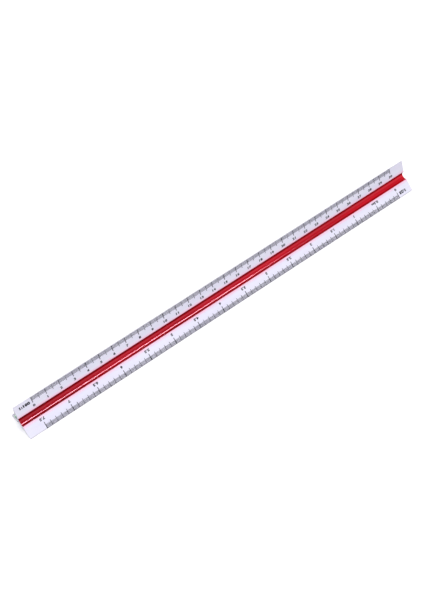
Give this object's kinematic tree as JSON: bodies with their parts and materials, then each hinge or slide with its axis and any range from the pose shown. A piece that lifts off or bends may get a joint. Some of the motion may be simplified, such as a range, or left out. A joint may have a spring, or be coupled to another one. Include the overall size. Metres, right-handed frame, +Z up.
{
  "type": "triangular scale ruler",
  "caption": "Straight three-sided drafting rule with a star-shaped section, a coloured strip in each hollow and a printed reduction scale along every edge.",
  "frame": {"origin": "middle of the footprint on the table, with the ruler lying on one of its three faces", "axes": "+X along the ruler from its left end, as read on the red face, to its right end; +Z up; the red face looks towards -Y, tilted 30 degrees up"},
  "size_m": [0.325, 0.024, 0.0209],
  "materials": {
    "white_plastic": "white styrene plastic with a faint cool tint, satin sheen and fine lines along its length",
    "red_plastic": "high gloss, clear red",
    "green_plastic": "high gloss green",
    "blue_plastic": "high gloss blue",
    "black_ink": "thin dull black screen-printing ink for the graduations, numbers and ratio labels"
  },
  "bodies": {
    "root": {"ruler_body": "white_plastic", "red_groove_strip": "red_plastic", "green_groove_strip": "green_plastic", "blue_groove_strip": "blue_plastic"}
  },
  "joints": []
}
